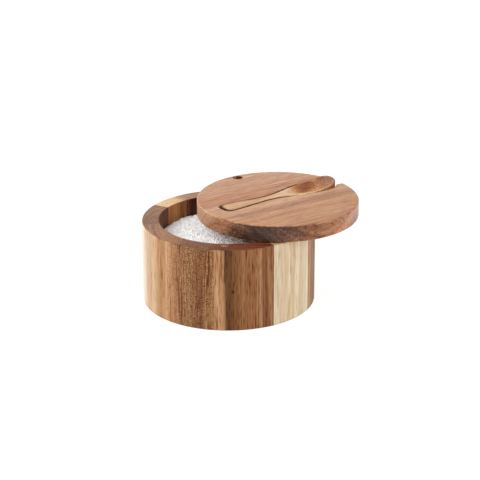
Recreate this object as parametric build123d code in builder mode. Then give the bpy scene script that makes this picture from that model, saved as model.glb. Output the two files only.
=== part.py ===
"""Round wooden salt box with a swivel lid that carries its own spoon.

The box is a ring of upright staves glued edge to edge round a let-in base. The lid turns on one
screw near the rim and is held shut by a pair of small magnets. A spoon lies in a pocket cut in the
lid's top. Units are millimetres and degrees. The origin is the centre of the box's underside, +Z is
up and the pivot screw stands on the +Y side. The lid is drawn swung open.
"""

import os
from math import atan2, cos, degrees, hypot, pi, radians, sin

from build123d import *

os.makedirs("parts", exist_ok=True)

# Box
well_radius = 45.75
wall = 11.4
box_height = 55.5
base_thickness = 8.0
base_rebate = 4.0
outer_round = 0.9
inner_round = 0.45

# Staves, as angles about the box's axis. The last stave takes what is left of the circle
first_joint_angle = -92.3
stave_angles = (40.0, 34.0, 33.0, 33.0, 28.0, 42.0, 41.5, 40.0, 40.0)

# Lid
lid_thickness = 11.1
lid_land = 1.15
lid_round = 0.9
lid_swing = 40.0

# Pivot screw, its washer and the bores for them
screw_inset = 3.05
head_diameter = 6.4
head_height = 2.2
head_round = 1.0
head_bore_gap = 0.3
head_seat = 5.0
shank_diameter = 4.2
thread_diameter = 3.5
thread_length = 22.0
thread_point = 3.0
drive_width = 3.6
drive_slot = 0.9
drive_depth = 1.3
washer_diameter = 7.0
washer_thickness = 0.5

# Magnets, one in the rim and one under the lid, beside the line through the pivot
magnet_diameter = 5.0
magnet_thickness = 2.0
magnet_recess = 0.3
magnet_angle = -85.6

# Spoon and its pocket, in the lid's own directions: along the spoon, across it, and up
spoon_offset = 3.9
spoon_angle = 2.5
tip_inset = 5.05
tail_land = 11.0
tail_gap = 2.5
side_gap = 0.8
handle_width = 11.9
tail_round = 3.6
neck_width = 7.0
neck_from_tip = 51.4
bowl_width = 19.8
bowl_from_tip = 15.1
pocket_floor = 4.6
pocket_round = 0.5
notch_width = 12.0
notch_length = 20.0
tip_lift = 3.95
tip_thickness = 3.4
tip_rake = 0.75
bowl_rise_from_tip = 27.0
bowl_rim = 1.3
bowl_depth = 6.9
cavity_length = 34.0

# Salt, heaped a little higher towards one side, with shallow mounds
salt_drop = 13.2
salt_crown = 2.2
salt_lean = 0.9
salt_lean_angle = 128.0
mound_height = 0.35
mound_spacing = 11.0
mound_wander = 3
mound_samples = 5

# Clearances
glue_gap = 0.02
running_gap = 0.05
seat_gap = 0.3

# Sizes that follow from the ones above
box_radius = well_radius + wall
base_radius = well_radius + base_rebate
pivot_radius = well_radius + screw_inset
head_bore_radius = head_diameter / 2 + head_bore_gap
lid_radius = pivot_radius + head_bore_radius + lid_land
lid_gap = washer_thickness + running_gap
lid_bottom = box_height + lid_gap
lid_top = lid_bottom + lid_thickness
head_bottom = lid_bottom + head_seat + running_gap
pocket_depth = lid_thickness - pocket_floor
spoon_tip = lid_radius - tip_inset
spoon_tail = -(lid_radius - tail_land - tail_gap)
salt_edge = box_height - salt_drop

# Planes. The lid's planes are centred on the lid and turned with it
swing = radians(lid_swing)
lid_centre = (pivot_radius * sin(swing), pivot_radius * (1 - cos(swing)))
lid_along = (cos(swing), sin(swing), 0)
lid_base = Plane(origin=(*lid_centre, lid_bottom), x_dir=lid_along, z_dir=(0, 0, 1))
lid_face = lid_base.offset(lid_thickness)
pocket_face = lid_base.offset(pocket_floor)


def turned(plane: Plane, angle: float, shift: float) -> Plane:
    """The plane moved along its own Y by shift and turned about its normal."""
    along = plane.x_dir.rotate(Axis((0, 0, 0), plane.z_dir), angle)
    return Plane(origin=plane.origin + plane.y_dir * shift, x_dir=along, z_dir=plane.z_dir)


def spoon_outline(plane: Plane, side: float, end: float) -> Sketch:
    """The spoon seen from above, wider by side all round and longer by end at the handle."""
    tail = spoon_tail - end
    tip = spoon_tip + side
    tail_half = handle_width / 2 + side
    corner = tail_round + side
    neck = (spoon_tip - neck_from_tip, neck_width / 2 + side)
    widest = (spoon_tip - bowl_from_tip, bowl_width / 2 + side)
    with BuildSketch(plane) as outline:
        with BuildLine():
            Line((tail, 0), (tail, tail_half - corner))
            RadiusArc((tail, tail_half - corner), (tail + corner, tail_half), corner)
            Spline(
                (tail + corner, tail_half),
                neck,
                widest,
                (tip, 0),
                tangents=((1, 0), (0, -1)),
            )
            mirror(about=Plane.XZ)
        make_face()
    return outline.sketch


# The ring of staves. A stave is the wall's section carried through its own share of the circle
stave_starts = [first_joint_angle + sum(stave_angles[:count]) for count in range(len(stave_angles) + 1)]
stave_ends = stave_starts[1:] + [first_joint_angle + 360]
magnet_place = (pivot_radius * cos(radians(magnet_angle)), pivot_radius * sin(radians(magnet_angle)))

for number, (start, end) in enumerate(zip(stave_starts, stave_ends), start=1):
    outward = (cos(radians(start)), sin(radians(start)), 0)
    sideways = (sin(radians(start)), -cos(radians(start)), 0)
    with BuildPart() as stave:
        with BuildSketch(Plane(origin=(0, 0, 0), x_dir=outward, z_dir=sideways)):
            with BuildLine():
                FilletPolyline(
                    (base_radius, 0),
                    (box_radius, 0),
                    (box_radius, box_height),
                    (well_radius, box_height),
                    (well_radius, base_thickness),
                    (base_radius, base_thickness),
                    radius=(0, outer_round, outer_round, inner_round, 0, 0),
                    close=True,
                )
            make_face()
        revolve(axis=Axis.Z, revolution_arc=end - start)
        with Locations((0, pivot_radius, box_height)):
            Hole(radius=thread_diameter / 2 + glue_gap, depth=thread_length - washer_thickness)
        with Locations((*magnet_place, box_height)):
            Hole(radius=magnet_diameter / 2 + glue_gap, depth=magnet_thickness + magnet_recess)
    stave.part.label = f"stave_{number:02d}"
    export_step(stave.part, f"parts/stave_{number:02d}.step")

# The base, a disc let into the staves' rebate
with BuildPart() as base_disc:
    Cylinder(base_radius, base_thickness, align=(Align.CENTER, Align.CENTER, Align.MIN))
base_disc.part.label = "base_disc"
export_step(base_disc.part, "parts/base_disc.step")

# The salt, a heap from the base up to an uneven crowned top that is one smooth face
salt_radius = well_radius - glue_gap
lean_way = (cos(radians(salt_lean_angle)), sin(radians(salt_lean_angle)))


def salt_height(x: float, y: float) -> float:
    """The height of the salt's top: a crown, a lean, and mounds where two wandering waves cross."""
    crown = salt_crown * (1 - (hypot(x, y) / salt_radius) ** 2)
    lean = salt_lean * (x * lean_way[0] + y * lean_way[1]) / salt_radius
    turn = 2 * pi / mound_spacing
    wander = (sin(turn * y / mound_wander), sin(turn * x / mound_wander))
    mounds = mound_height * cos(turn * x + wander[0]) * cos(turn * y + wander[1])
    return salt_edge + crown + lean + mounds


grid_step = mound_spacing / mound_samples
grid_half = int(salt_radius / grid_step) + 2
grid = [step * grid_step for step in range(-grid_half, grid_half + 1)]
salt_top = Face.make_surface_from_array_of_points(
    [[Vector(x, y, salt_height(x, y)) for y in grid] for x in grid]
)
with BuildPart() as salt:
    extrude(salt_top, amount=box_height, dir=(0, 0, -1))
    with Locations((0, 0, base_thickness)):
        Cylinder(
            salt_radius,
            box_height,
            align=(Align.CENTER, Align.CENTER, Align.MIN),
            mode=Mode.INTERSECT,
        )
salt.part.label = "salt"
export_step(salt.part, "parts/salt.step")

# The rim's magnet
with BuildPart(Plane.XY.offset(box_height - magnet_recess - magnet_thickness)) as box_magnet:
    with Locations(magnet_place):
        Cylinder(
            magnet_diameter / 2,
            magnet_thickness,
            align=(Align.CENTER, Align.CENTER, Align.MIN),
        )
box_magnet.part.label = "box_magnet"
export_step(box_magnet.part, "parts/box_magnet.step")

# The lid's magnet, in line with the rim's when the lid is shut
with BuildPart(lid_base.offset(magnet_recess)) as lid_magnet:
    with Locations(magnet_place):
        Cylinder(
            magnet_diameter / 2,
            magnet_thickness,
            align=(Align.CENTER, Align.CENTER, Align.MIN),
        )
lid_magnet.part.label = "lid_magnet"
export_step(lid_magnet.part, "parts/lid_magnet.step")

# The lid, one board with the spoon's pocket, a notch out through its edge and a screw bore
spoon_floor = turned(pocket_face, spoon_angle, spoon_offset)
with BuildPart() as lid:
    with BuildSketch(lid_base):
        Circle(lid_radius)
    extrude(amount=lid_thickness)
    fillet(lid.edges().filter_by(GeomType.CIRCLE), lid_round)
    add(spoon_outline(spoon_floor, side_gap, tail_gap))
    extrude(amount=lid_thickness, mode=Mode.SUBTRACT)
    top_edges = lid.edges().group_by(Axis.Z)[-1]
    fillet(top_edges.sort_by(lambda edge: (edge @ 0.5 - lid_face.origin).length)[:-1], pocket_round)
    with BuildSketch(spoon_floor):
        with Locations((spoon_tip, 0)):
            Rectangle(notch_length, notch_width)
    extrude(amount=lid_thickness, mode=Mode.SUBTRACT)
    with Locations((0, pivot_radius, lid_top)):
        CounterBoreHole(
            radius=shank_diameter / 2 + running_gap,
            counter_bore_radius=head_bore_radius,
            counter_bore_depth=lid_thickness - head_seat,
        )
    with BuildSketch(lid_base):
        with Locations(magnet_place):
            Circle(magnet_diameter / 2 + glue_gap)
    extrude(amount=magnet_thickness + magnet_recess, mode=Mode.SUBTRACT)
lid.part.label = "lid"
export_step(lid.part, "parts/lid.step")

# The washer that keeps the lid off the rim
with BuildPart(Plane.XY.offset(box_height)) as pivot_washer:
    with BuildSketch(Plane.XY.offset(box_height)):
        with Locations((0, pivot_radius)):
            Circle(washer_diameter / 2)
            Circle(shank_diameter / 2 + running_gap, mode=Mode.SUBTRACT)
    extrude(amount=washer_thickness)
pivot_washer.part.label = "pivot_washer"
export_step(pivot_washer.part, "parts/pivot_washer.step")

# The pivot screw, point down: thread in the wall, plain shank through the lid, cross-driven head
thread_bottom = box_height - thread_length + washer_thickness
screw_axis = Axis((0, pivot_radius, 0), (0, 0, 1))
with BuildPart() as pivot_screw:
    with BuildSketch(Plane(origin=(0, pivot_radius, 0), x_dir=(1, 0, 0), z_dir=(0, -1, 0))):
        with BuildLine():
            FilletPolyline(
                (0, thread_bottom),
                (thread_diameter / 2, thread_bottom + thread_point),
                (thread_diameter / 2, box_height),
                (shank_diameter / 2, box_height),
                (shank_diameter / 2, head_bottom),
                (head_diameter / 2, head_bottom),
                (head_diameter / 2, head_bottom + head_height),
                (0, head_bottom + head_height),
                radius=(0, 0, 0, 0, 0, 0, head_round, 0),
                close=True,
            )
        make_face()
    revolve(axis=screw_axis)
    with BuildSketch(Plane.XY.offset(head_bottom + head_height)):
        with Locations((0, pivot_radius)):
            Rectangle(drive_width, drive_slot)
            Rectangle(drive_slot, drive_width)
    extrude(amount=-drive_depth, mode=Mode.SUBTRACT)
pivot_screw.part.label = "pivot_screw"
export_step(pivot_screw.part, "parts/pivot_screw.step")

# The spoon, carved from a blank: its outline from above, from the side and from the end
spoon_top = turned(lid_face, spoon_angle, spoon_offset)
spoon_side = Plane(origin=spoon_top.origin, x_dir=spoon_top.x_dir, z_dir=-spoon_top.y_dir)
spoon_end = Plane(origin=spoon_top.origin, x_dir=spoon_top.y_dir, z_dir=spoon_top.x_dir)
underside = seat_gap - pocket_depth
rise_start = spoon_tip - bowl_rise_from_tip
belly = (spoon_tip - bowl_from_tip, underside)
belly_half_width = bowl_width / 2 + side_gap / 2

# The egg-shaped cut that hollows the bowl. Its long axis slopes up from the handle to the tip
cavity_half_width = bowl_width / 2 - bowl_rim
cavity_bulge = (cavity_half_width**2 + bowl_depth**2) / (2 * bowl_depth)
cavity_reach = cavity_length / 2 * cavity_bulge / cavity_half_width
cavity_slope = degrees(atan2(tip_lift, cavity_length))
cavity_centre = spoon_tip - bowl_rim - cavity_length / 2
cavity_origin = (
    spoon_top.origin
    + spoon_top.x_dir * cavity_centre
    + spoon_top.z_dir * (tip_lift / 2 + cavity_bulge - bowl_depth)
)
cavity_side = turned(
    Plane(origin=cavity_origin, x_dir=spoon_side.x_dir, z_dir=spoon_side.z_dir), cavity_slope, 0
)
with BuildPart() as spoon:
    add(spoon_outline(spoon_top.offset(underside), 0, 0))
    extrude(amount=pocket_depth + tip_lift)
    with BuildSketch(spoon_side):
        with BuildLine():
            TangentArc((rise_start, 0), (spoon_tip, tip_lift), tangent=(1, 0))
            Polyline(
                (spoon_tip, tip_lift),
                (spoon_tip + tip_inset, tip_lift),
                (spoon_tip + tip_inset, tip_lift - tip_thickness),
                (spoon_tip, tip_lift - tip_thickness),
            )
            Spline((spoon_tip, tip_lift - tip_thickness), belly, tangents=((-tip_rake, -1), (-1, 0)))
            Polyline(
                belly,
                (spoon_tail - tail_gap, underside),
                (spoon_tail - tail_gap, 0),
                (rise_start, 0),
            )
        make_face()
    extrude(amount=bowl_width, both=True, mode=Mode.INTERSECT)
    with BuildSketch(spoon_end):
        with BuildLine():
            Polyline(
                (-belly_half_width, 0),
                (-belly_half_width, 2 * tip_lift),
                (belly_half_width, 2 * tip_lift),
                (belly_half_width, 0),
            )
            EllipticalCenterArc((0, 0), belly_half_width, -underside, start_angle=180, arc_size=180)
        make_face()
    extrude(amount=2 * lid_radius, both=True, mode=Mode.INTERSECT)
    with BuildSketch(cavity_side):
        with BuildLine():
            EllipticalCenterArc(
                (0, 0), cavity_reach, cavity_bulge, start_angle=180, arc_size=180
            )
            Line((cavity_reach, 0), (-cavity_reach, 0))
        make_face()
    revolve(axis=Axis(cavity_side.origin, cavity_side.x_dir), mode=Mode.SUBTRACT)
spoon.part.label = "spoon"
export_step(spoon.part, "parts/spoon.step")
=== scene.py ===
"""Looks of a round wooden salt box with a swivel lid, a spoon in the lid and coarse salt inside.

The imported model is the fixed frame, and every piece rides on one of its bodies. Blender's own
lengths are metres. Sizes named here are millimetres, and MM turns them to metres.
"""

from __future__ import annotations

import logging
import math
from dataclasses import dataclass
from enum import Enum

import bmesh
import bpy
import numpy as np
from mathutils import Matrix, Vector


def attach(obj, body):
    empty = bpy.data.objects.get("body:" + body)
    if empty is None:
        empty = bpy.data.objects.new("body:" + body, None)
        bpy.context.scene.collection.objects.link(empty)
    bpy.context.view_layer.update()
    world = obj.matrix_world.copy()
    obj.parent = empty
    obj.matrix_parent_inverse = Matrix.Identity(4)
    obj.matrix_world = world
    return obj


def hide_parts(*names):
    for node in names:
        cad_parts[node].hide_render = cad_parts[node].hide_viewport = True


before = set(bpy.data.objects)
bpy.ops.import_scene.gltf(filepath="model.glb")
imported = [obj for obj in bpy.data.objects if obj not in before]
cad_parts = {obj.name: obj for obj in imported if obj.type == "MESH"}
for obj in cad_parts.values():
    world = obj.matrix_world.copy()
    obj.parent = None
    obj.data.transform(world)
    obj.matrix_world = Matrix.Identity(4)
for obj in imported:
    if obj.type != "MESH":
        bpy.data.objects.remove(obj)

LOG = logging.getLogger("salt_box")
MM = 0.001
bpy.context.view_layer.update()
LID_TURN = math.radians(40.0)
SPOON_TURN = math.radians(42.5)
PIVOT_RADIUS = 48.8
LID_CENTRE = (PIVOT_RADIUS * math.sin(LID_TURN), PIVOT_RADIUS * (1 - math.cos(LID_TURN)))
WELD_REACH = 0.0005

# Noise steps in each millimetre along a board, across it and through it
FIBRE_STEPS = (0.03, 1.8, 1.8)
PORE_STEPS = (0.09, 1.6, 1.6)
STREAK_STEPS = (0.012, 0.42, 0.42)
STREAK_BREAK_STEPS = (0.06, 0.3, 0.3)
CURL_STEPS = (0.6, 0.75, 0.75)
SWAY_STEPS = (0.013, 0.045, 0.045)
# How far each step of a board's seed moves its noise, so that no two boards are alike
GRAIN_SHIFT = (91.7, 57.3, 33.1)
GROWTH_SHIFT = 7.7
SWAY_SHIFT = 37.9
# Depths in millimetres over which a turned face gives way to the tones beside it
SKIN_DEPTHS = (0.55, 0.1)
WELL_SHADE_DEPTHS = (0.15, 0.5)
LEAST_TONE = 0.25
FIBRE_GLOSS = 0.06
GRAIN_DEPTH = 0.05
OILED_WOOD_IOR = 1.47
SALT_IOR = 1.54


def linear(hex_colour: str) -> tuple[float, float, float, float]:
    """Turn an sRGB hex colour to linear light.

    Each channel c, from 0 to 1, becomes c / 12.92 up to 0.04045, and
    ((c + 0.055) / 1.055) to the power 2.4 above it.

    Args:
        hex_colour: a number sign and six hex digits.

    Returns:
        Red, green, blue and an alpha of 1.
    """
    channels = (int(hex_colour[start : start + 2], 16) / 255 for start in (1, 3, 5))
    red, green, blue = (
        c / 12.92 if c <= 0.04045 else ((c + 0.055) / 1.055) ** 2.4 for c in channels
    )
    return red, green, blue, 1.0


def add_node(
    tree: bpy.types.NodeTree,
    kind: str,
    inputs: dict[int | str, object] | None = None,
    out: int | str = 0,
    **settings: object,
) -> bpy.types.NodeSocket:
    """Add a node with its settings, values and links.

    Args:
        tree: the tree that it goes into.
        kind: the class name of the node without ShaderNode.
        inputs: values or sockets by the input's name or number.
        out: the output to hand back, by name or number.
        **settings: attributes of the node.

    Returns:
        The chosen output, or the node's first input where it has no output.
    """
    node = tree.nodes.new("ShaderNode" + kind)
    for name, value in settings.items():
        setattr(node, name, value)
    for key, value in (inputs or {}).items():
        if isinstance(value, bpy.types.NodeSocket):
            tree.links.new(value, node.inputs[key])
        else:
            node.inputs[key].default_value = value
    return node.outputs[out] if node.outputs else node.inputs[0]


def new_tree(name: str) -> tuple[bpy.types.Material, bpy.types.NodeTree]:
    """Make a material with an empty node tree.

    Args:
        name: the material's name, which says what it is.

    Returns:
        The material and its tree.
    """
    material = bpy.data.materials.new(name)
    material.use_nodes = True
    material.node_tree.nodes.clear()
    return material, material.node_tree


def new_piece(
    name: str, points: np.ndarray, faces: np.ndarray, smooth: bool = True
) -> bpy.types.Object:
    """Make a closed object at the origin from whole arrays, with its faces outwards.

    The faces are turned round where the volume that they enclose, the sum of a . (b x c) over
    their first three corners, comes out negative. Points that meet are then merged.

    Args:
        name: the piece's name.
        points: places in millimetres, one row a point.
        faces: four point numbers a face.
        smooth: whether the faces are shaded smooth, with their rows' ends merged.

    Returns:
        The new object, linked to the scene.
    """
    first, second, third, fourth = (points[faces[:, corner]] for corner in range(4))
    volume = np.einsum("ij,ij->", first, np.cross(second, third))
    volume += np.einsum("ij,ij->", first, np.cross(third, fourth))
    faces = faces if volume > 0 else faces[:, ::-1]
    mesh = bpy.data.meshes.new(name)
    mesh.vertices.add(len(points))
    mesh.vertices.foreach_set("co", (points * MM).astype(np.float32).reshape(-1))
    mesh.loops.add(faces.size)
    mesh.loops.foreach_set("vertex_index", faces.astype(np.int32).reshape(-1))
    mesh.polygons.add(len(faces))
    mesh.polygons.foreach_set("loop_start", np.arange(0, faces.size, 4, dtype=np.int32))
    mesh.polygons.foreach_set("use_smooth", np.full(len(faces), smooth))
    mesh.update(calc_edges=True)
    if smooth:
        whole = bmesh.new()
        whole.from_mesh(mesh)
        bmesh.ops.remove_doubles(whole, verts=whole.verts, dist=WELD_REACH * MM)
        whole.to_mesh(mesh)
        whole.free()
    piece = bpy.data.objects.new(name, mesh)
    bpy.context.scene.collection.objects.link(piece)
    return piece


def wrapped_grid(rows: int, columns: int) -> np.ndarray:
    """Faces between rows of points that each go right round.

    Face (r, c) joins points c and c + 1 of row r to those of row r + 1, and the last column
    joins the first.

    Args:
        rows: rows of points.
        columns: points in a row.

    Returns:
        Four point numbers a face.
    """
    here = np.arange(columns)
    following = (here + 1) % columns
    row = columns * np.arange(rows - 1)[:, None]
    corners = (row + here, row + following, row + columns + following, row + columns + here)
    return np.stack(corners, axis=-1).reshape(-1, 4)


def ripples(
    places: np.ndarray, seed: int, longest: float, shortest: float, count: int = 40
) -> np.ndarray:
    """A smooth uneven height over a plane: a scaled sum of seeded plane waves.

    Args:
        places: x and y in millimetres, one row a place.
        seed: the seed of the directions, lengths and phases.
        longest: the longest wave in millimetres.
        shortest: the shortest wave in millimetres.
        count: how many waves.

    Returns:
        A height for each place, with a spread of about 1.
    """
    random = np.random.default_rng(seed)
    turn = random.uniform(0, 2 * np.pi, count)
    number = 2 * np.pi / np.exp(random.uniform(np.log(shortest), np.log(longest), count))
    phase = random.uniform(0, 2 * np.pi, count)
    waves = np.stack((np.cos(turn), np.sin(turn))) * number
    return np.cos(places @ waves + phase).sum(axis=-1) * math.sqrt(2 / count)


class Split(Enum):
    """What tells a board's two tones apart."""

    SKIN = "the turned outer face against what lies under it"
    EDGE = "level faces against upright ones"


class Run(Enum):
    """The direction on a board that a row of tones follows, as shares of its three axes."""

    ALONG = (1.0, 0.0, 0.0)
    ACROSS = (0.0, 1.0, 0.0)
    LEANING = (0.737, -0.676, -0.8)


@dataclass(frozen=True)
class Tones:
    """Tones met one after another on a board, as places in millimetres and sRGB colours."""

    stops: tuple[tuple[float, str], ...]
    run: Run = Run.ACROSS

    def colour(
        self, tree: bpy.types.NodeTree, place: bpy.types.NodeSocket
    ) -> bpy.types.NodeSocket:
        """Colour by place: straight steps between the stops, along the tones' own direction.

        Args:
            tree: the material's tree.
            place: the board's own coordinates in millimetres.

        Returns:
            The colour.
        """
        reach = add_node(
            tree, "VectorMath", {0: place, 1: self.run.value}, "Value", operation="DOT_PRODUCT"
        )
        low, high = self.stops[0][0], self.stops[-1][0]
        share = add_node(tree, "MapRange", {0: reach, 1: low, 2: high})
        colour = add_node(tree, "ValToRGB", {0: share})
        elements = colour.node.color_ramp.elements
        elements.remove(elements[-1])
        for number, (at, tone) in enumerate(self.stops):
            element = elements[0] if number == 0 else elements.new((at - low) / (high - low))
            element.position = (at - low) / (high - low)
            element.color = linear(tone)
        return colour


@dataclass(frozen=True)
class Acacia:
    """A board of acacia, sanded and wiped with food-safe oil, which leaves a low satin sheen.

    The eye gets brown heartwood with paler and darker growth bands, long thin dark streaks, open
    pores that show as short dark dashes along the grain and as specks on the ends, and in places
    a curl of small dark flecks. The board's own directions are X along the fibres, Y across them
    and Z through it. A figure's share is how far it darkens: the ground colour is raised to the
    power 1 plus the sum of the shares, each times its figure less the level that leaves the
    ground as it is, so a darker place is also a richer one.
    """

    name: str
    place: Matrix
    face: Tones
    under: Tones
    split: Split
    seed: int
    pith: tuple[float, float] = (18.0, 70.0)
    band_gap: float = 2.4
    bands: float = 0.55
    fibres: float = 0.4
    streaks: float = 0.6
    pores: float = 0.45
    flecks: float = 0.0
    fleck_edge: tuple[float, float] = (-100.0, -99.0)
    end_depth: float = 0.3
    end_pores: float = 0.5
    sway: float = 2.5
    # Spots that darken the tone, each along, across, size and depth: a real knot, or a spot of
    # painted shade such as those on the far inner wall of the spoon's bowl
    knots: tuple[tuple[float, float, float, float], ...] = ()
    inner_radius: float = 45.75
    outer_radius: float = 57.15
    # Tones of the inner wall: painted shade, darker than the rim
    well: Tones | None = None
    # Painted shade in a cut pocket and bore: where it lies and how far it darkens
    cut_radius: float = 0.0
    cut_levels: tuple[float, float] = (0.0, 0.0)
    pocket_shade_depth: float = 0.0
    bore_from: float = 0.0
    bore_shade_depth: float = 0.0
    edge_tilt: tuple[float, float] = (0.3, 0.85)
    roughness: float = 0.5
    sheen: float = 0.25

    def figures(
        self,
        tree: bpy.types.NodeTree,
        bent: bpy.types.NodeSocket,
        facing: bpy.types.NodeSocket,
    ) -> dict[str, tuple[bpy.types.NodeSocket, float, float]]:
        """The wood's figures, each from 0, pale, to 1, dark.

        Args:
            tree: the material's tree.
            bent: the board's coordinates in millimetres, with the sway of the fibres.
            facing: which way the surface faces.

        Returns:
            For each figure its value, its share and the level that leaves the ground as it is.
        """
        offset = tuple(self.seed * step for step in GRAIN_SHIFT)
        grain = add_node(tree, "VectorMath", {0: bent, 1: offset})
        # Growth bands: noise in one dimension over the distance from the pith
        pith = (0.0, self.pith[0], self.pith[1])
        spoke = add_node(tree, "VectorMath", {0: bent, 1: pith}, operation="SUBTRACT")
        flat = add_node(tree, "VectorMath", {0: spoke, 1: (0.0, 1.0, 1.0)}, operation="MULTIPLY")
        reach = add_node(tree, "VectorMath", {0: flat}, "Value", operation="LENGTH")
        growth = add_node(
            tree,
            "Math",
            {0: reach, 1: 1 / self.band_gap, 2: GROWTH_SHIFT * self.seed},
            operation="MULTIPLY_ADD",
        )
        rings = add_node(
            tree,
            "TexNoise",
            {"W": growth, "Scale": 1.0, "Detail": 4.0, "Roughness": 0.65},
            noise_dimensions="1D",
        )
        bands = add_node(tree, "MapRange", {0: rings, 1: 0.3, 2: 0.72})
        # Fibres 0.6 mm across and 33 mm long, coarser than real ones so that they show
        fine = add_node(tree, "VectorMath", {0: grain, 1: FIBRE_STEPS}, operation="MULTIPLY")
        threads = add_node(
            tree, "TexNoise", {"Vector": fine, "Scale": 1.0, "Detail": 3.0, "Roughness": 0.65}
        )
        fibres = add_node(tree, "MapRange", {0: threads, 1: 0.3, 2: 0.7})
        # Pores up to 0.4 mm across and 8 mm long, wider than real ones so that they show
        cells = add_node(tree, "VectorMath", {0: grain, 1: PORE_STEPS}, operation="MULTIPLY")
        nearest = add_node(tree, "TexVoronoi", {"Vector": cells, "Scale": 1.0}, "Distance")
        pores = add_node(tree, "MapRange", {0: nearest, 1: 0.12, 2: 0.34, 3: 1.0, 4: 0.0})
        # Streaks: where slow noise crosses its middle there is a thin line, broken into lengths
        long = add_node(tree, "VectorMath", {0: grain, 1: STREAK_STEPS}, operation="MULTIPLY")
        level = add_node(tree, "TexNoise", {"Vector": long, "Scale": 1.0, "Detail": 3.0})
        centred = add_node(tree, "Math", {0: level, 1: 0.5}, operation="SUBTRACT")
        away = add_node(tree, "Math", {0: centred}, operation="ABSOLUTE")
        line = add_node(tree, "MapRange", {0: away, 1: 0.0, 2: 0.03, 3: 1.0, 4: 0.0})
        lengths = add_node(
            tree, "VectorMath", {0: grain, 1: STREAK_BREAK_STEPS}, operation="MULTIPLY"
        )
        patch = add_node(tree, "TexNoise", {"Vector": lengths, "Scale": 1.0, "Detail": 1.0})
        broken = add_node(tree, "MapRange", {0: patch, 1: 0.42, 2: 0.6})
        streaks = add_node(tree, "Math", {0: line, 1: broken}, operation="MULTIPLY")
        # Curl: flecks 1 to 2 mm long where the fibres wave in and out of the face
        waves = add_node(tree, "VectorMath", {0: grain, 1: CURL_STEPS}, operation="MULTIPLY")
        turbulence = add_node(
            tree,
            "TexNoise",
            {"Vector": waves, "Scale": 1.0, "Detail": 2.5, "Roughness": 0.6, "Distortion": 2.6},
        )
        dark = add_node(tree, "MapRange", {0: turbulence, 1: 0.51, 2: 0.62})
        across = add_node(tree, "SeparateXYZ", {0: bent}, 1)
        low, high = self.fleck_edge
        where = add_node(tree, "MapRange", {0: across, 1: low, 2: high})
        flecks = add_node(tree, "Math", {0: dark, 1: where}, operation="MULTIPLY")
        # Cut ends drink more oil and turn darker, and show the pores as dots
        fibre_way = self.place.to_3x3() @ Vector((1, 0, 0))
        along = add_node(
            tree, "VectorMath", {0: facing, 1: fibre_way}, "Value", operation="DOT_PRODUCT"
        )
        end = add_node(tree, "Math", {0: along, 1: 2.0}, operation="POWER")
        dots = add_node(tree, "Math", {0: pores, 1: dark})
        specks = add_node(tree, "Math", {0: end, 1: dots}, operation="MULTIPLY")
        return {
            "bands": (bands, self.bands, 0.4),
            "fibres": (fibres, self.fibres, 0.4),
            "pores": (pores, self.pores, 0.0),
            "streaks": (streaks, self.streaks, 0.0),
            "flecks": (flecks, self.flecks, 0.1),
            "ends": (end, self.end_depth, 0.0),
            "specks": (specks, self.end_pores, 0.0),
        }

    def add_knot_and_painted_shade(
        self,
        tree: bpy.types.NodeTree,
        board: bpy.types.NodeSocket,
        bent: bpy.types.NodeSocket,
        tone: bpy.types.NodeSocket,
    ) -> bpy.types.NodeSocket:
        """Add darker places: a knot, spots of painted shade, and painted shade in the cut hollows.

        Args:
            tree: the material's tree.
            board: the board's coordinates in millimetres.
            bent: the same with the sway of the fibres.
            tone: the tone so far.

        Returns:
            The tone with those places darker.
        """
        for along_at, across_at, size, depth in self.knots:
            # A knot, or a spot of painted shade, fades over its own size
            spot = add_node(
                tree, "VectorMath", {0: bent, 1: (along_at, across_at, 0.0)}, operation="SUBTRACT"
            )
            flat = add_node(
                tree, "VectorMath", {0: spot, 1: (0.8, 1.0, 0.0)}, operation="MULTIPLY"
            )
            out = add_node(tree, "VectorMath", {0: flat}, "Value", operation="LENGTH")
            dark = add_node(
                tree, "MapRange", {0: out, 1: 0.4 * size, 2: size, 3: depth, 4: 0.0}
            )
            tone = add_node(tree, "Math", {0: tone, 1: dark})
        if self.pocket_shade_depth:
            # Painted shade in the pocket and the bore below the face: their walls and floor take
            # darker tones, darkest in the bore
            plan = add_node(
                tree, "VectorMath", {0: board, 1: (1.0, 1.0, 0.0)}, operation="MULTIPLY"
            )
            radius = add_node(tree, "VectorMath", {0: plan}, "Value", operation="LENGTH")
            edge = self.cut_radius
            split = add_node(tree, "SeparateXYZ", {0: board}).node
            aside = add_node(tree, "Math", {0: split.outputs[1]}, operation="ABSOLUTE")
            low, high = self.bore_from, self.bore_from + 2
            depth = add_node(
                tree,
                "MapRange",
                {0: aside, 1: low, 2: high, 3: self.pocket_shade_depth, 4: self.bore_shade_depth},
            )
            inside = add_node(
                tree, "MapRange", {0: radius, 1: edge - 0.3, 2: edge, 3: depth, 4: 0.0}
            )
            height = split.outputs[2]
            low, high = self.cut_levels
            below = add_node(
                tree, "MapRange", {0: height, 1: high - 0.4, 2: high, 3: 1.0, 4: 0.0}
            )
            above = add_node(tree, "MapRange", {0: height, 1: low, 2: low + 0.2})
            within = add_node(tree, "Math", {0: below, 1: above}, operation="MULTIPLY")
            tone = add_node(
                tree, "Math", {0: inside, 1: within, 2: tone}, operation="MULTIPLY_ADD"
            )
        return tone

    def material(self) -> bpy.types.Material:
        """Build the finish: two rows of tones, darkened by the figures, with a satin coat.

        Returns:
            The material.
        """
        material, tree = new_tree(self.name)
        thing = add_node(tree, "TexCoord", out="Object")
        facing = thing.node.outputs["Normal"]
        board = add_node(
            tree,
            "Mapping",
            {
                "Vector": thing,
                "Location": self.place.to_translation(),
                "Rotation": self.place.to_euler(),
                "Scale": (MM, MM, MM),
            },
            vector_type="TEXTURE",
        )
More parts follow.
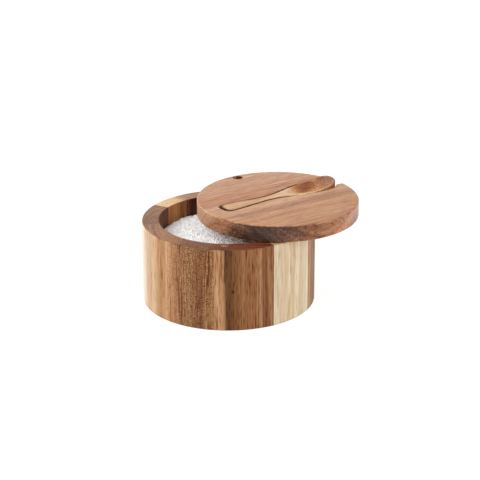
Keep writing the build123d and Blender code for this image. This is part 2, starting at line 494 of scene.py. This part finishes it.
        # The fibres sway a few millimetres over some 80 mm of length
        moved = add_node(tree, "VectorMath", {0: board, 1: (self.seed * SWAY_SHIFT,) * 3})
        slow = add_node(tree, "VectorMath", {0: moved, 1: SWAY_STEPS}, operation="MULTIPLY")
        sway = add_node(tree, "TexNoise", {"Vector": slow, "Scale": 1.0, "Detail": 2.0}, "Color")
        swing = (0.0, 2 * self.sway, 2 * self.sway)
        shift = add_node(tree, "VectorMath", {0: sway, 1: (0.5, 0.5, 0.5)}, operation="SUBTRACT")
        bent = add_node(
            tree, "VectorMath", {0: shift, 1: swing, 2: board}, operation="MULTIPLY_ADD"
        )
        figures = self.figures(tree, bent, facing)
        shown = [figure for figure in figures.values() if figure[1]]
        tone: bpy.types.NodeSocket | float = 1 - sum(share * level for _, share, level in shown)
        for figure, share, _ in shown:
            tone = add_node(tree, "Math", {0: figure, 1: share, 2: tone}, operation="MULTIPLY_ADD")
        tone = self.add_knot_and_painted_shade(tree, board, bent, tone)

        if self.split is Split.SKIN:
            ring = add_node(
                tree, "VectorMath", {0: thing, 1: (1.0, 1.0, 0.0)}, operation="MULTIPLY"
            )
            radius = add_node(tree, "VectorMath", {0: ring}, "Value", operation="LENGTH")
            low, high = ((self.outer_radius - depth) * MM for depth in SKIN_DEPTHS)
            shows = add_node(tree, "MapRange", {0: radius, 1: low, 2: high})
        else:
            up = add_node(
                tree, "VectorMath", {0: facing, 1: (0, 0, 1)}, "Value", operation="DOT_PRODUCT"
            )
            level_face = add_node(tree, "Math", {0: up}, operation="ABSOLUTE")
            steep, flat_from = self.edge_tilt
            shows = add_node(tree, "MapRange", {0: level_face, 1: steep, 2: flat_from})
        under = self.under.colour(tree, bent)
        if self.well:
            # The turned wall of the well takes darker tones than the rim above it: painted shade,
            # for the shade inside the well
            low, high = ((self.inner_radius + depth) * MM for depth in WELL_SHADE_DEPTHS)
            rim = add_node(tree, "MapRange", {0: radius, 1: low, 2: high})
            well = self.well.colour(tree, bent)
            under = add_node(tree, "Mix", {0: rim, 6: well, 7: under}, 2, data_type="RGBA")
        ground = add_node(
            tree,
            "Mix",
            {0: shows, 6: under, 7: self.face.colour(tree, bent)},
            2,
            data_type="RGBA",
        )
        safe = add_node(tree, "Math", {0: tone, 1: LEAST_TONE}, operation="MAXIMUM")
        colour = add_node(tree, "Gamma", {"Color": ground, "Gamma": safe})
        fibres, pores = figures["fibres"][0], figures["pores"][0]
        rough = add_node(
            tree,
            "Math",
            {0: fibres, 1: 2 * FIBRE_GLOSS, 2: self.roughness - FIBRE_GLOSS},
            operation="MULTIPLY_ADD",
        )
        # Fibres stand a little out of the sanded face and pores lie in it
        dent = add_node(tree, "Math", {0: pores, 1: -1.0, 2: fibres}, operation="MULTIPLY_ADD")
        bump = add_node(
            tree, "Bump", {"Height": dent, "Strength": 0.4, "Distance": GRAIN_DEPTH * MM}
        )
        shader = add_node(
            tree,
            "BsdfPrincipled",
            {
                "Base Color": colour,
                "Roughness": rough,
                "Normal": bump,
                "IOR": OILED_WOOD_IOR,
                "Specular IOR Level": self.sheen,
            },
        )
        add_node(tree, "OutputMaterial", {"Surface": shader})
        return material


@dataclass(frozen=True)
class Metal:
    """Plated or bare steel: a hard surface whose soft glints come from its fine tool lines."""

    name: str
    tone: str
    roughness: float
    line_gap: float

    def material(self) -> bpy.types.Material:
        """Build the finish: noise stretched along one way stands for the tool lines.

        Returns:
            The material.
        """
        material, tree = new_tree(self.name)
        thing = add_node(tree, "TexCoord", out="Object")
        rate = 1 / (self.line_gap * MM)
        scaled = add_node(
            tree, "VectorMath", {0: thing, 1: (rate, rate * 0.05, rate)}, operation="MULTIPLY"
        )
        lines = add_node(tree, "TexNoise", {"Vector": scaled, "Scale": 1.0, "Detail": 2.0})
        rough = add_node(
            tree, "Math", {0: lines, 1: 0.25, 2: self.roughness - 0.12}, operation="MULTIPLY_ADD"
        )
        bump = add_node(tree, "Bump", {"Height": lines, "Strength": 0.15, "Distance": 0.01 * MM})
        shader = add_node(
            tree,
            "BsdfPrincipled",
            {"Base Color": linear(self.tone), "Metallic": 1.0, "Roughness": rough, "Normal": bump},
        )
        add_node(tree, "OutputMaterial", {"Surface": shader})
        return material


@dataclass(frozen=True)
class CoarseSalt:
    """Crushed rock salt: small white crystals, some of them clearer, with an uneven soft gloss."""

    name: str = "coarse_rock_salt"
    bright: str = "#FDFDFD"
    clear: str = "#EAECED"
    grain: float = 0.8
    clear_from: float = 0.5
    roughness: tuple[float, float] = (0.2, 0.6)
    sheen: float = 0.3

    def material(self) -> bpy.types.Material:
        """Build the finish: a random tone and gloss for each grain-sized cell.

        Returns:
            The material.
        """
        material, tree = new_tree(self.name)
        thing = add_node(tree, "TexCoord", out="Object")
        rate = 1 / (self.grain * MM)
        cells = add_node(tree, "TexVoronoi", {"Vector": thing, "Scale": rate}, "Color")
        pick = add_node(tree, "SeparateXYZ", {0: cells})
        share = add_node(tree, "MapRange", {0: pick, 1: self.clear_from, 2: 1.0})
        tone = add_node(
            tree,
            "Mix",
            {0: share, 6: linear(self.bright), 7: linear(self.clear)},
            2,
            data_type="RGBA",
        )
        low, high = self.roughness
        rough = add_node(tree, "MapRange", {0: pick.node.outputs[1], 3: low, 4: high})
        shader = add_node(
            tree,
            "BsdfPrincipled",
            {
                "Base Color": tone,
                "Roughness": rough,
                "IOR": SALT_IOR,
                "Specular IOR Level": self.sheen,
            },
        )
        add_node(tree, "OutputMaterial", {"Surface": shader})
        return material


def board_frame(
    along: tuple[float, float, float], across: tuple[float, float, float], at: tuple[float, ...]
) -> Matrix:
    """Work out a board's own frame, whose third direction is square to the other two.

    Args:
        along: the direction of the fibres.
        across: the direction across them.
        at: the frame's place in millimetres.

    Returns:
        The frame in metres.
    """
    first, second = Vector(along), Vector(across)
    frame_matrix = Matrix((first, second, first.cross(second))).transposed().to_4x4()
    frame_matrix.translation = Vector(at) * MM
    return frame_matrix


def paint(piece: bpy.types.Object, material: bpy.types.Material) -> None:
    """Put one material on every slot of a piece, or on a new slot where it has none.

    Args:
        piece: the piece to dress.
        material: its finish.
    """
    if not piece.material_slots:
        piece.data.materials.append(material)
    for slot in piece.material_slots:
        slot.material = material
    LOG.info("%s: %s", piece.name, material.name)


@dataclass
class Box:
    """The ring of ten staves and the base let into it."""

    joints: tuple[float, ...] = (
        -92.3, -52.3, -18.3, 14.7, 47.7, 75.7, 117.7, 159.2, 199.2, 239.2, 267.7,
    )
    outer_radius: float = 57.15

    def stave(self, number: int, skin: Tones, core: Tones, **look: object) -> None:
        """Dress one stave with its own board.

        Args:
            number: the stave's number, from 1.
            skin: tones of the turned outer face, by millimetres from the stave's middle.
            core: tones of the rim and the inner face.
            **look: other fields of the finish.
        """
        middle = math.radians((self.joints[number - 1] + self.joints[number]) / 2)
        outward = (math.cos(middle), math.sin(middle), 0.0)
        place = board_frame(
            (0.0, 0.0, 1.0),
            (-outward[1], outward[0], 0.0),
            tuple(self.outer_radius * part for part in outward),
        )
        finish = Acacia(
            name=f"oiled_acacia_stave_{number:02d}",
            place=place,
            face=skin,
            under=core,
            split=Split.SKIN,
            seed=number,
            outer_radius=self.outer_radius,
            # Unless a stave gives its own, the well tones are painted shade on the inner wall
            **{"well": Tones(((-20, "#603A20"), (20, "#643C21"))), **look},
        )
        paint(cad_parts[f"stave_{number:02d}"], finish.material())

    def dress(self) -> None:
        """Dress the staves, each cut from another board, and the base."""
        brown = Tones(((-20, "#84552F"), (0, "#8F6036"), (20, "#7E5030")))
        dark = Tones(((-20, "#7C573C"), (20, "#855D41")))
        self.stave(
            1,
            Tones((
                (-19.5, "#A97F59"), (-13.4, "#A87E59"), (-11.8, "#633F1B"), (-8.5, "#79512A"),
                (3, "#966841"), (13, "#8F623E"), (19.5, "#865730"),
            )),
            Tones(((-19.5, "#906446"), (-10, "#8E5E3E"), (19.5, "#8E5E3E"))),
            streaks=0.7,
            pores=0.9,
            sway=1.0,
            knots=((27.0, -7.3, 1.0, 1.5),),
        )
        self.stave(
            2,
            Tones(((-17, "#D8C9B1"), (-2, "#DAC5A7"), (17, "#E7D9C1"))),
            Tones(((-17, "#D0BA9A"), (17, "#D0BA9A"))),
            bands=0.9,
            fibres=0.9,
            streaks=1.0,
            pores=0.35,
            sway=1.2,
        )
        self.stave(3, Tones((
            (-16.2, "#A67C57"), (-14, "#C89C76"), (-12, "#BA8F69"), (-9.5, "#A07455"),
            (-5, "#A07858"), (16, "#A87C56"),
        )), dark)
        self.stave(4, brown, dark)
        self.stave(5, Tones(((-14, "#B5865A"), (14, "#93653E"))), brown)
        self.stave(6, brown, Tones(((-20, "#B4947E"), (20, "#B89984"))))
        self.stave(
            7,
            brown,
            Tones((
                (-20, "#B89882"), (-4, "#BE9E86"), (3, "#E2CAA8"), (20, "#E8D2B2"),
            )),
            # Painted shade on the inner wall, deepest towards stave 6
            well=Tones((
                (-17, "#402310"), (-9, "#482813"), (-4, "#7C4E2B"), (0, "#8C5A32"),
                (4, "#B8824D"), (17, "#BC8650"),
            )),
        )
        self.stave(
            8,
            Tones((
                (-20, "#BE946A"), (-4, "#CAA179"), (7, "#E2CCB1"), (20, "#EADBCB"),
            )),
            Tones(((-20, "#B08F77"), (20, "#9C7C66"))),
            # Painted shade on the inner wall
            well=Tones(((-20, "#6E3E1C"), (20, "#60351A"))),
            bands=0.4,
        )
        self.stave(
            9,
            Tones((
                (-19.5, "#E2D2C0"), (-8, "#C3A483"), (-3.5, "#B6926E"), (1.5, "#BA956F"),
                (10, "#B78F69"), (19.5, "#AE825C"),
            )),
            Tones(((-19.5, "#A88870"), (0, "#AE8A6C"), (19.5, "#AD8664"))),
            streaks=0.8,
            flecks=1.0,
            fleck_edge=(4.0, 26.0),
            sway=1.5,
        )
        self.stave(
            10,
            Tones((
                (-14, "#A47856"), (-4, "#8D643E"), (6, "#8B613D"), (14, "#946A40"),
            )),
            Tones(((-14, "#A97F5C"), (-6, "#987050"), (14, "#946A4C"))),
            flecks=1.3,
            fleck_edge=(-22.0, -4.0),
            streaks=0.9,
        )
        base = Acacia(
            name="oiled_acacia_base",
            place=board_frame((1, 0, 0), (0, 1, 0), (0, 0, 0)),
            face=Tones(((-50, "#9E724E"), (-10, "#AE825C"), (15, "#9A6D48"), (50, "#A67B56"))),
            under=Tones(((-50, "#9E724E"), (50, "#A67B56"))),
            split=Split.EDGE,
            seed=12,
        )
        paint(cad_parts["base_disc"], base.material())


@dataclass
class Lid:
    """The swivel lid, one board whose fibres follow the spoon."""

    bottom: float = 56.05

    def dress(self) -> None:
        """Dress the lid: a pinkish satin top, and sides that turn from cream to deep brown, the
        deep brown partly dark heartwood and partly painted shade.
        """
        turn = (math.cos(LID_TURN), math.sin(LID_TURN), 0.0)
        finish = Acacia(
            name="oiled_acacia_lid",
            place=board_frame(turn, (-turn[1], turn[0], 0.0), (*LID_CENTRE, self.bottom)),
            face=Tones((
                (-53, "#B27B4D"), (-34, "#B98455"), (-24, "#BB8655"), (-16, "#A57144"),
                (-7, "#C08D65"), (-4, "#C69B71"), (5, "#C2946D"), (9, "#AC7043"),
                (16, "#B57947"), (30, "#BC8D66"), (53, "#BE8E68"),
            )),
            # The sides: pale where the wood's cream streak comes down, and a deep brown middle
            # that is partly dark heartwood and partly painted shade on the side that faces the
            # front
            under=Tones((
                (-62, "#DAB79C"), (-50, "#CFAA8E"), (-43.5, "#C69E80"), (-41, "#B88C6B"),
                (-32, "#B08464"), (-26, "#7C5840"), (-14, "#503220"), (-6, "#4C2F1E"),
                (8, "#5E3B24"), (22, "#895937"), (36, "#A9754F"), (45, "#CC9873"),
                (50, "#A87A5F"), (54, "#7E5A46"),
            ), Run.LEANING),
            split=Split.EDGE,
            seed=21,
            pith=(-14.0, -16.0),
            bands=0.55,
            fibres=0.5,
            streaks=1.0,
            pores=0.9,
            flecks=0.3,
            end_depth=0.0,
            end_pores=0.9,
            sway=1.6,
            roughness=0.34,
            sheen=0.5,
            # Painted shade on the walls and floor of the spoon pocket, and deeper in the pivot
            # bore
            cut_radius=52.3,
            cut_levels=(0.3, 11.0),
            pocket_shade_depth=0.25,
            bore_from=25.0,
            bore_shade_depth=1.6,
        )
        paint(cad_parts["lid"], finish.material())


@dataclass
class Spoon:
    """The wooden salt spoon, carved from one blank. S runs along it and Y across it."""

    tail: float = -39.95
    tip: float = 48.4
    handle_half: float = 5.95
    corner: float = 3.6
    neck: tuple[float, float] = (-6.0, 3.45)
    flare: tuple[float, float] = (14.7, 7.2)
    flare_slope: float = 0.25
    widest: tuple[float, float] = (33.3, 9.9)
    tip_power: float = 2.6
    rise_start: float = 21.4
    tip_lift: float = 3.95
    tip_thickness: float = 3.4
    underside: float = -6.2
    belly: tuple[float, float] = (33.3, 10.3)
    spine_end: float = 40.4
    handle_round: float = 1.1
    bowl_round: float = 0.8
    round_ends: tuple[float, float] = (2.0, 20.0)
    rim: float = 1.3
    hollow_start: float = 11.5
    hollow_middle: float = 30.0
    hollow_half: float = 18.5
    hollow_depth: float = 5.4
    hollow_run: float = 9.0
    row_power: float = 1.35
    least_side: float = 0.2
    columns: int = 600
    rows: tuple[int, int, int] = (70, 5, 26)
    centre: tuple[float, float, float] = (28.76, 14.515, 67.15)

    def outline(self) -> np.ndarray:
        """The plan of the spoon, from the middle of its tail round by its +Y side.

        The tail is a straight line and a quarter circle. The handle and the bowl's flare are
        three cubic Hermite pieces, and the tip is a quarter of the curve where the nth powers of
        the shares of the half length and half width add up to 1.

        Returns:
            S and Y in millimetres, one row a point, evenly spaced along the outline.
        """
        turn = np.linspace(0, np.pi / 2, 40)
        tail_corner = np.stack(
            (
                self.tail + self.corner * (1 - np.sin(turn)),
                self.handle_half - self.corner * (1 - np.cos(turn)),
            ),
            axis=1,
        )[::-1]
        marks = ((self.tail + self.corner, self.handle_half), self.neck, self.flare, self.widest)
        stations, halves = np.array(marks).T
        slopes = np.array((0.0, 0.0, self.flare_slope, 0.0))
        s = np.linspace(stations[0], stations[-1], 400)
        piece = np.clip(np.searchsorted(stations, s) - 1, 0, len(marks) - 2)
        span = stations[piece + 1] - stations[piece]
        t = (s - stations[piece]) / span
        half = (
            (2 * t**3 - 3 * t**2 + 1) * halves[piece]
            + (t**3 - 2 * t**2 + t) * span * slopes[piece]
            + (3 * t**2 - 2 * t**3) * halves[piece + 1]
            + (t**3 - t**2) * span * slopes[piece + 1]
        )
        bow = np.linspace(0, np.pi / 2, 300)[1:]
        tip = np.stack(
            (
                self.widest[0] + (self.tip - self.widest[0]) * np.sin(bow) ** (2 / self.tip_power),
                self.widest[1] * np.abs(np.cos(bow)) ** (2 / self.tip_power),
            ),
            axis=1,
        )
        upper = np.concatenate(
            (np.array(((self.tail, 0.0),)), tail_corner, np.stack((s, half), axis=1)[1:], tip)
        )
        lower = upper[::-1][1:] * (1, -1)
        whole = np.concatenate((upper, lower))
        length = np.concatenate(([0], np.cumsum(np.linalg.norm(np.diff(whole, axis=0), axis=1))))
        even = np.linspace(0, length[-1], self.columns, endpoint=False)
        return np.stack([np.interp(even, length, whole[:, k]) for k in (0, 1)], axis=1)

    def surface(self) -> np.ndarray:
        """The spoon's skin: rows from a line down its middle out to the outline, over and back.

        A place on the top or underside is the nearest point of the middle line plus a share of
        the way to the outline. The top is level along the handle and rises by a square law to
        the tip, less a quarter circle at the edge, which is wider on the handle, and the hollow,
        whose depth falls off as 1 minus the square of the share of the way to the hollow's rim.
        The underside is the higher of a straight keel that ends in a quarter ellipse and a half
        ellipse across.

        Returns:
            Places in the spoon's own frame, as rows by columns by 3.
        """
        edge = self.outline()
        middle = np.stack(
            (
                np.clip(edge[:, 0], self.tail + self.corner, self.spine_end),
                np.zeros(self.columns),
            ),
            axis=1,
        )
        reach = np.linalg.norm(edge - middle, axis=1)
        bowl_share = np.clip((edge[:, 0] - self.round_ends[0]) / np.ptp(self.round_ends), 0, 1)
        edge_round = self.handle_round + (self.bowl_round - self.handle_round) * bowl_share
        top_rows, side_rows, under_rows = self.rows
        share_top = (1 - (1 - np.linspace(0, 1, top_rows)) ** self.row_power)[:, None]
        share_under = (1 - np.linspace(0, 1, under_rows) ** self.row_power)[:, None]

        def spread(share: np.ndarray) -> tuple[np.ndarray, np.ndarray, np.ndarray]:
            """S, Y and the drop of the rounded edge at each share of the way out.

            Args:
                share: shares of the way from the middle line to the outline.

            Returns:
                S, Y and the drop in millimetres.
            """
            place = middle + (edge - middle) * share[..., None]
            gap = np.clip((1 - share) * reach, 0, edge_round)
            drop = edge_round - np.sqrt(edge_round**2 - (edge_round - gap) ** 2)
            return place[..., 0], place[..., 1], drop

        s, y, drop = spread(share_top)
        rise = np.clip((s - self.rise_start) / (self.tip - self.rise_start), 0, 1)
        begin = np.clip((s - self.hollow_start) / self.hollow_run, 0, 1)
        limit = np.clip(1 - self.rim / reach, 0.01, 1) * np.sqrt(1 - (1 - begin) ** 2)
        inside = np.clip(1 - (share_top / np.clip(limit, 0.01, None)) ** 2, 0, 1)
        length_share = np.clip((s - self.hollow_middle) / self.hollow_half, -1, 1)
        depth = self.hollow_depth * (1 - length_share**2)
        top = self.tip_lift * rise**2 - drop - depth * inside
        s_low, y_low, drop_low = spread(share_under)
        tip_share = np.clip((s_low - self.belly[0]) / (self.tip - self.belly[0]), 0, 1)
        tip_base = self.tip_lift - self.tip_thickness
        keel = tip_base + (self.underside - tip_base) * np.sqrt(1 - tip_share**2)
        bilge = self.underside * np.sqrt(1 - np.clip(np.abs(y_low) / self.belly[1], 0, 1) ** 2)
        low = np.maximum(keel, bilge) + drop_low
        upper = np.stack((s, y, top), axis=-1)
        low = np.minimum(low, upper[-1, :, 2] - self.least_side)
        under = np.stack((s_low, y_low, low), axis=-1)
        fall = np.linspace(0, 1, side_rows + 2)[1:-1, None, None]
        side = upper[-1] * (1 - fall) + under[0] * fall
        return np.concatenate((upper, side, under))

    def build(self) -> None:
        """Build and dress the spoon, which stands for its CAD solid."""
        skin = self.surface()
        along = np.array((math.cos(SPOON_TURN), math.sin(SPOON_TURN)))
        across = np.array((-along[1], along[0]))
        plan = skin[..., :1] * along + skin[..., 1:2] * across + self.centre[:2]
        points = np.concatenate((plan, skin[..., 2:] + self.centre[2]), axis=-1).reshape(-1, 3)
        spoon = new_piece("salt_spoon", points, wrapped_grid(len(skin), self.columns))
        finish = Acacia(
            name="oiled_acacia_spoon",
            place=board_frame((*along, 0.0), (*across, 0.0), self.centre),
            face=Tones((
                (-40, "#CCA47B"), (-20, "#C9A077"), (-4, "#D0A47C"), (8, "#D8B18C"),
                (13, "#D6B28D"), (17, "#D8B48A"), (22, "#DAB68C"), (28, "#D0A67C"),
                (34, "#D0A076"), (44, "#B07E5A"), (49.5, "#AA7654"),
            ), Run.ALONG),
            # Upright faces and steep edges: painted shade along the handle's sides where it lies
            # in the pocket, and painted light on the bowl's walls by the neck
            under=Tones((
                (-40, "#5E3A1E"), (8, "#583418"), (13, "#DCB791"), (20, "#D6B088"),
                (28, "#B88E66"), (36, "#AC7E56"), (46, "#906443"),
            ), Run.ALONG),
            split=Split.EDGE,
            seed=31,
            pith=(30.0, -45.0),
            band_gap=2.0,
            bands=0.5,
            fibres=0.6,
            streaks=0.9,
            pores=0.8,
            end_depth=0.0,
            sway=1.2,
            # Two spots of painted shade on the far inner wall of the bowl
            knots=((21.0, 6.5, 4.5, 0.25), (28.5, 7.5, 8.0, 0.75)),
            edge_tilt=(0.78, 0.985),
            roughness=0.44,
            sheen=0.4,
        )
        paint(spoon, finish.material())
        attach(spoon, "spoon")
        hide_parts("spoon")


@dataclass
class Salt:
    """The heap of salt in the well, with loose crystals all over its top."""

    radius: float = 45.7
    base: float = 8.0
    edge: float = 42.3
    crown: float = 2.2
    lean: float = 0.9
    lean_way: float = 128.0
    mound_height: float = 0.35
    mound_gap: float = 11.0
    crystals: int = 15500
    crystal_half: float = 0.31
    half_spread: float = 0.38
    half_limits: tuple[float, float] = (0.16, 0.85)
    half_stretch: tuple[float, float] = (0.7, 1.25)
    sinks: tuple[float, float] = (-0.55, 0.3)
    crystal_seed: int = 11
    dip_depth: float = 0.9
    dip_way: float = 172.0
    hollow_height: float = 0.1
    hollow_gaps: tuple[float, float] = (6.0, 2.6)
    hollow_seed: int = 5
    top_rows: int = 150
    low_rows: int = 12
    columns: int = 360

    def height(self, places: np.ndarray) -> np.ndarray:
        """How high the salt stands at each place.

        The crown falls off with the square of the share of the way to the wall. A lean lifts
        one side, two waves that wander across each other raise shallow mounds, a dip follows
        the left wall, and small hollows lie 2.6 to 6 mm apart.

        Args:
            places: x and y in millimetres.

        Returns:
            Heights in millimetres.
        """
        x, y = places[..., 0], places[..., 1]
        share = np.hypot(x, y) / self.radius
        bearing = np.arctan2(y, x)
        turn = 2 * np.pi / self.mound_gap
        mounds = np.cos(turn * x + np.sin(turn * y / 3)) * np.cos(turn * y + np.sin(turn * x / 3))
        dip = np.exp(-(((np.cos(bearing - math.radians(self.dip_way)) - 1) * 14) ** 2)) * share**6
        return (
            self.edge
            + self.crown * (1 - share**2)
            + self.lean * share * np.cos(bearing - math.radians(self.lean_way))
            + self.mound_height * mounds
            - self.dip_depth * dip
            + self.hollow_height * ripples(places, self.hollow_seed, *self.hollow_gaps)
        )

    def build(self) -> None:
        """Build and dress the heap and its crystals, which stand for the CAD solid."""
        turn = np.linspace(0, 2 * np.pi, self.columns, endpoint=False)
        ring = np.stack((np.cos(turn), np.sin(turn)), axis=-1)
        reach = self.radius * np.linspace(0, 1, self.top_rows)[:, None, None]
        top_plan = reach * ring
        top = np.concatenate((top_plan, self.height(top_plan)[..., None]), axis=-1)
        low_reach = self.radius * np.linspace(1, 0, self.low_rows)[:, None, None]
        low_plan = low_reach * ring
        floor = np.full((self.low_rows, self.columns, 1), self.base)
        low = np.concatenate((low_plan, floor), axis=-1)
        points = np.concatenate((top, low)).reshape(-1, 3)
        faces = wrapped_grid(self.top_rows + self.low_rows, self.columns)
        heap = new_piece("salt_heap", points, faces)
        material = CoarseSalt().material()
        paint(heap, material)

        random = np.random.default_rng(self.crystal_seed)
        spread = np.exp(random.normal(0, self.half_spread, self.crystals))
        half = np.clip(self.crystal_half * spread, *self.half_limits)
        far = (self.radius - 1.2 * half) * np.sqrt(random.uniform(0, 1, self.crystals))
        bearing = random.uniform(0, 2 * np.pi, self.crystals)
        plan = np.stack((far * np.cos(bearing), far * np.sin(bearing)), axis=-1)
        level = self.height(plan) + random.uniform(*self.sinks, self.crystals) * half
        # A random turn for each crystal from a unit quaternion w + xi + yj + zk
        quaternion = random.normal(size=(4, self.crystals))
        w, x, y, z = quaternion / np.linalg.norm(quaternion, axis=0)
        turns = np.stack(
            (
                np.stack((1 - 2 * (y * y + z * z), 2 * (x * y - w * z), 2 * (x * z + w * y))),
                np.stack((2 * (x * y + w * z), 1 - 2 * (x * x + z * z), 2 * (y * z - w * x))),
                np.stack((2 * (x * z - w * y), 2 * (y * z + w * x), 1 - 2 * (x * x + y * y))),
            )
        )
        signs = np.array(
            [(a, b, c) for c in (-1, 1) for a, b in ((-1, -1), (1, -1), (1, 1), (-1, 1))], float
        )
        stretch = random.uniform(*self.half_stretch, (self.crystals, 1, 3))
        corners = signs[None] * stretch * half[:, None, None]
        placed = np.einsum("ijn,nkj->nki", turns, corners)
        placed += np.concatenate((plan, level[:, None]), axis=1)[:, None, :]
        # Corners that would reach into the wall are drawn back to the well's radius
        out = np.linalg.norm(placed[..., :2], axis=-1, keepdims=True)
        placed[..., :2] *= np.minimum(1, self.radius / out)
        cube = np.array(
            ((3, 2, 1, 0), (4, 5, 6, 7), (0, 1, 5, 4), (1, 2, 6, 5), (2, 3, 7, 6), (3, 0, 4, 7))
        )
        faces = (cube[None] + 8 * np.arange(self.crystals)[:, None, None]).reshape(-1, 4)
        loose = new_piece("salt_crystals", placed.reshape(-1, 3), faces, smooth=False)
        paint(loose, material)
        for piece in (heap, loose):
            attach(piece, "box")
        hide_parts("salt")


@dataclass
class Hardware:
    """The pivot screw and its washer, and the two small magnets."""

    def dress(self) -> None:
        """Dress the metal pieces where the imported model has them."""
        zinc = Metal("zinc_plated_steel", "#B9B7B2", 0.34, 0.25).material()
        nickel = Metal("nickel_plated_magnet", "#D4D1CB", 0.24, 0.4).material()
        for node in ("pivot_screw", "pivot_washer"):
            paint(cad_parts[node], zinc)
        for node in ("box_magnet", "lid_magnet"):
            paint(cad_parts[node], nickel)


def seen_share(tree: bpy.types.NodeTree) -> bpy.types.NodeSocket:
    """Tell rays that the eye follows, straight or by a glint or a clear piece, from soft light.

    Args:
        tree: the tree that the nodes go into.

    Returns:
        1 for a ray that is seen and 0 for one that only lights.
    """
    path = add_node(tree, "LightPath", out="Is Camera Ray")
    seen = path
    for ray in ("Is Glossy Ray", "Is Transmission Ray"):
        seen = add_node(tree, "Math", {0: seen, 1: path.node.outputs[ray]}, operation="MAXIMUM")
    return seen


@dataclass
class Studio:
    """A plain pale floor, soft light and the camera where the photograph was taken from."""

    floor_radius: float = 2500.0
    floor_rings: tuple[float, ...] = (0.0, 0.1, 0.4, 1.0)
    floor_points: int = 96
    floor_depth: float = 5.0
    floor_gap: float = 0.05
    floor_glow: float = 0.85
    camera_place: tuple[float, float, float] = (133.878, -1019.805, 440.119)
    heading: float = 7.0603
    pitch: float = 21.2483
    roll: float = -0.1486
    lens: float = 125.026
    sensor: float = 36.0
    aim: tuple[float, float, float] = (10.0, 0.0, 40.0)
    sky: float = 0.56
    key: float = 12.8
    side: float = 4.5
    fill: float = 7.0

    def floor(self) -> None:
        """Lay the floor: rings of points from its middle outwards, level all over."""
        turn = np.linspace(0, 2 * np.pi, self.floor_points, endpoint=False)
        ring = np.stack((np.cos(turn), np.sin(turn), np.zeros(self.floor_points)), axis=-1)
        rows = self.floor_radius * np.array(self.floor_rings)[:, None, None] * ring
        points = np.concatenate((rows, rows[::-1] - (0, 0, self.floor_depth))).reshape(-1, 3)
        faces = wrapped_grid(2 * len(self.floor_rings), self.floor_points)
        floor = new_piece("floor", points - (0, 0, self.floor_gap), faces)
        material, tree = new_tree("pale_paper_floor")
        seen = seen_share(tree)
        share = add_node(tree, "Math", {0: seen, 1: self.floor_glow}, operation="MULTIPLY")
        paper = add_node(tree, "BsdfDiffuse", {"Color": linear("#F2F1EF")})
        glow = add_node(tree, "Emission", {"Color": (1, 1, 1, 1), "Strength": 1.1})
        shader = add_node(tree, "MixShader", {0: share, 1: paper, 2: glow})
        add_node(tree, "OutputMaterial", {"Surface": shader})
        paint(floor, material)

    def light(self) -> None:
        """Set the soft sky, white to the camera, and three large lamps."""
        world = bpy.data.worlds.new("pale_sky")
        bpy.context.scene.world = world
        world.use_nodes = True
        tree = world.node_tree
        tree.nodes.clear()
        seen = seen_share(tree)
        strength = add_node(tree, "MapRange", {0: seen, 3: self.sky, 4: 1.0})
        sky = add_node(tree, "Background", {"Color": (1, 1, 1, 1), "Strength": strength})
        add_node(tree, "OutputWorld", {"Surface": sky})
        target = Vector(self.aim) * MM
        for name, place, size, power in (
            ("key", (-740, -740, 970), 1.0, self.key),
            ("side", (-1000, 620, 560), 0.35, self.side),
            ("fill", (1050, -850, 600), 1.2, self.fill),
        ):
            lamp = bpy.data.lights.new(name, "AREA")
            lamp.shape, lamp.size, lamp.energy = "DISK", size, power
            thing = bpy.data.objects.new(name, lamp)
            thing.location = Vector(place) * MM
            thing.rotation_euler = (target - thing.location).to_track_quat("-Z", "Y").to_euler()
            bpy.context.scene.collection.objects.link(thing)

    def camera(self) -> None:
        """Set the camera: turned to its heading, tipped down by its pitch and rolled."""
        lens = bpy.data.cameras.new("camera")
        lens.sensor_width, lens.lens = self.sensor, self.lens
        camera = bpy.data.objects.new("camera", lens)
        camera.matrix_world = (
            Matrix.Translation(Vector(self.camera_place) * MM)
            @ Matrix.Rotation(math.radians(self.heading), 4, "Z")
            @ Matrix.Rotation(math.radians(90 - self.pitch), 4, "X")
            @ Matrix.Rotation(math.radians(self.roll), 4, "Z")
        )
        bpy.context.scene.collection.objects.link(camera)
        bpy.context.scene.camera = camera


def main() -> None:
    """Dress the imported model, build the pieces that replace its solids, and set the studio."""
    logging.basicConfig(level=logging.INFO, format="%(name)s: %(message)s")
    Box().dress()
    Lid().dress()
    Spoon().build()
    Salt().build()
    Hardware().dress()
    studio = Studio()
    studio.floor()
    studio.light()
    studio.camera()
    bpy.context.scene.view_settings.view_transform = "Standard"


if __name__ == "__main__":
    main()
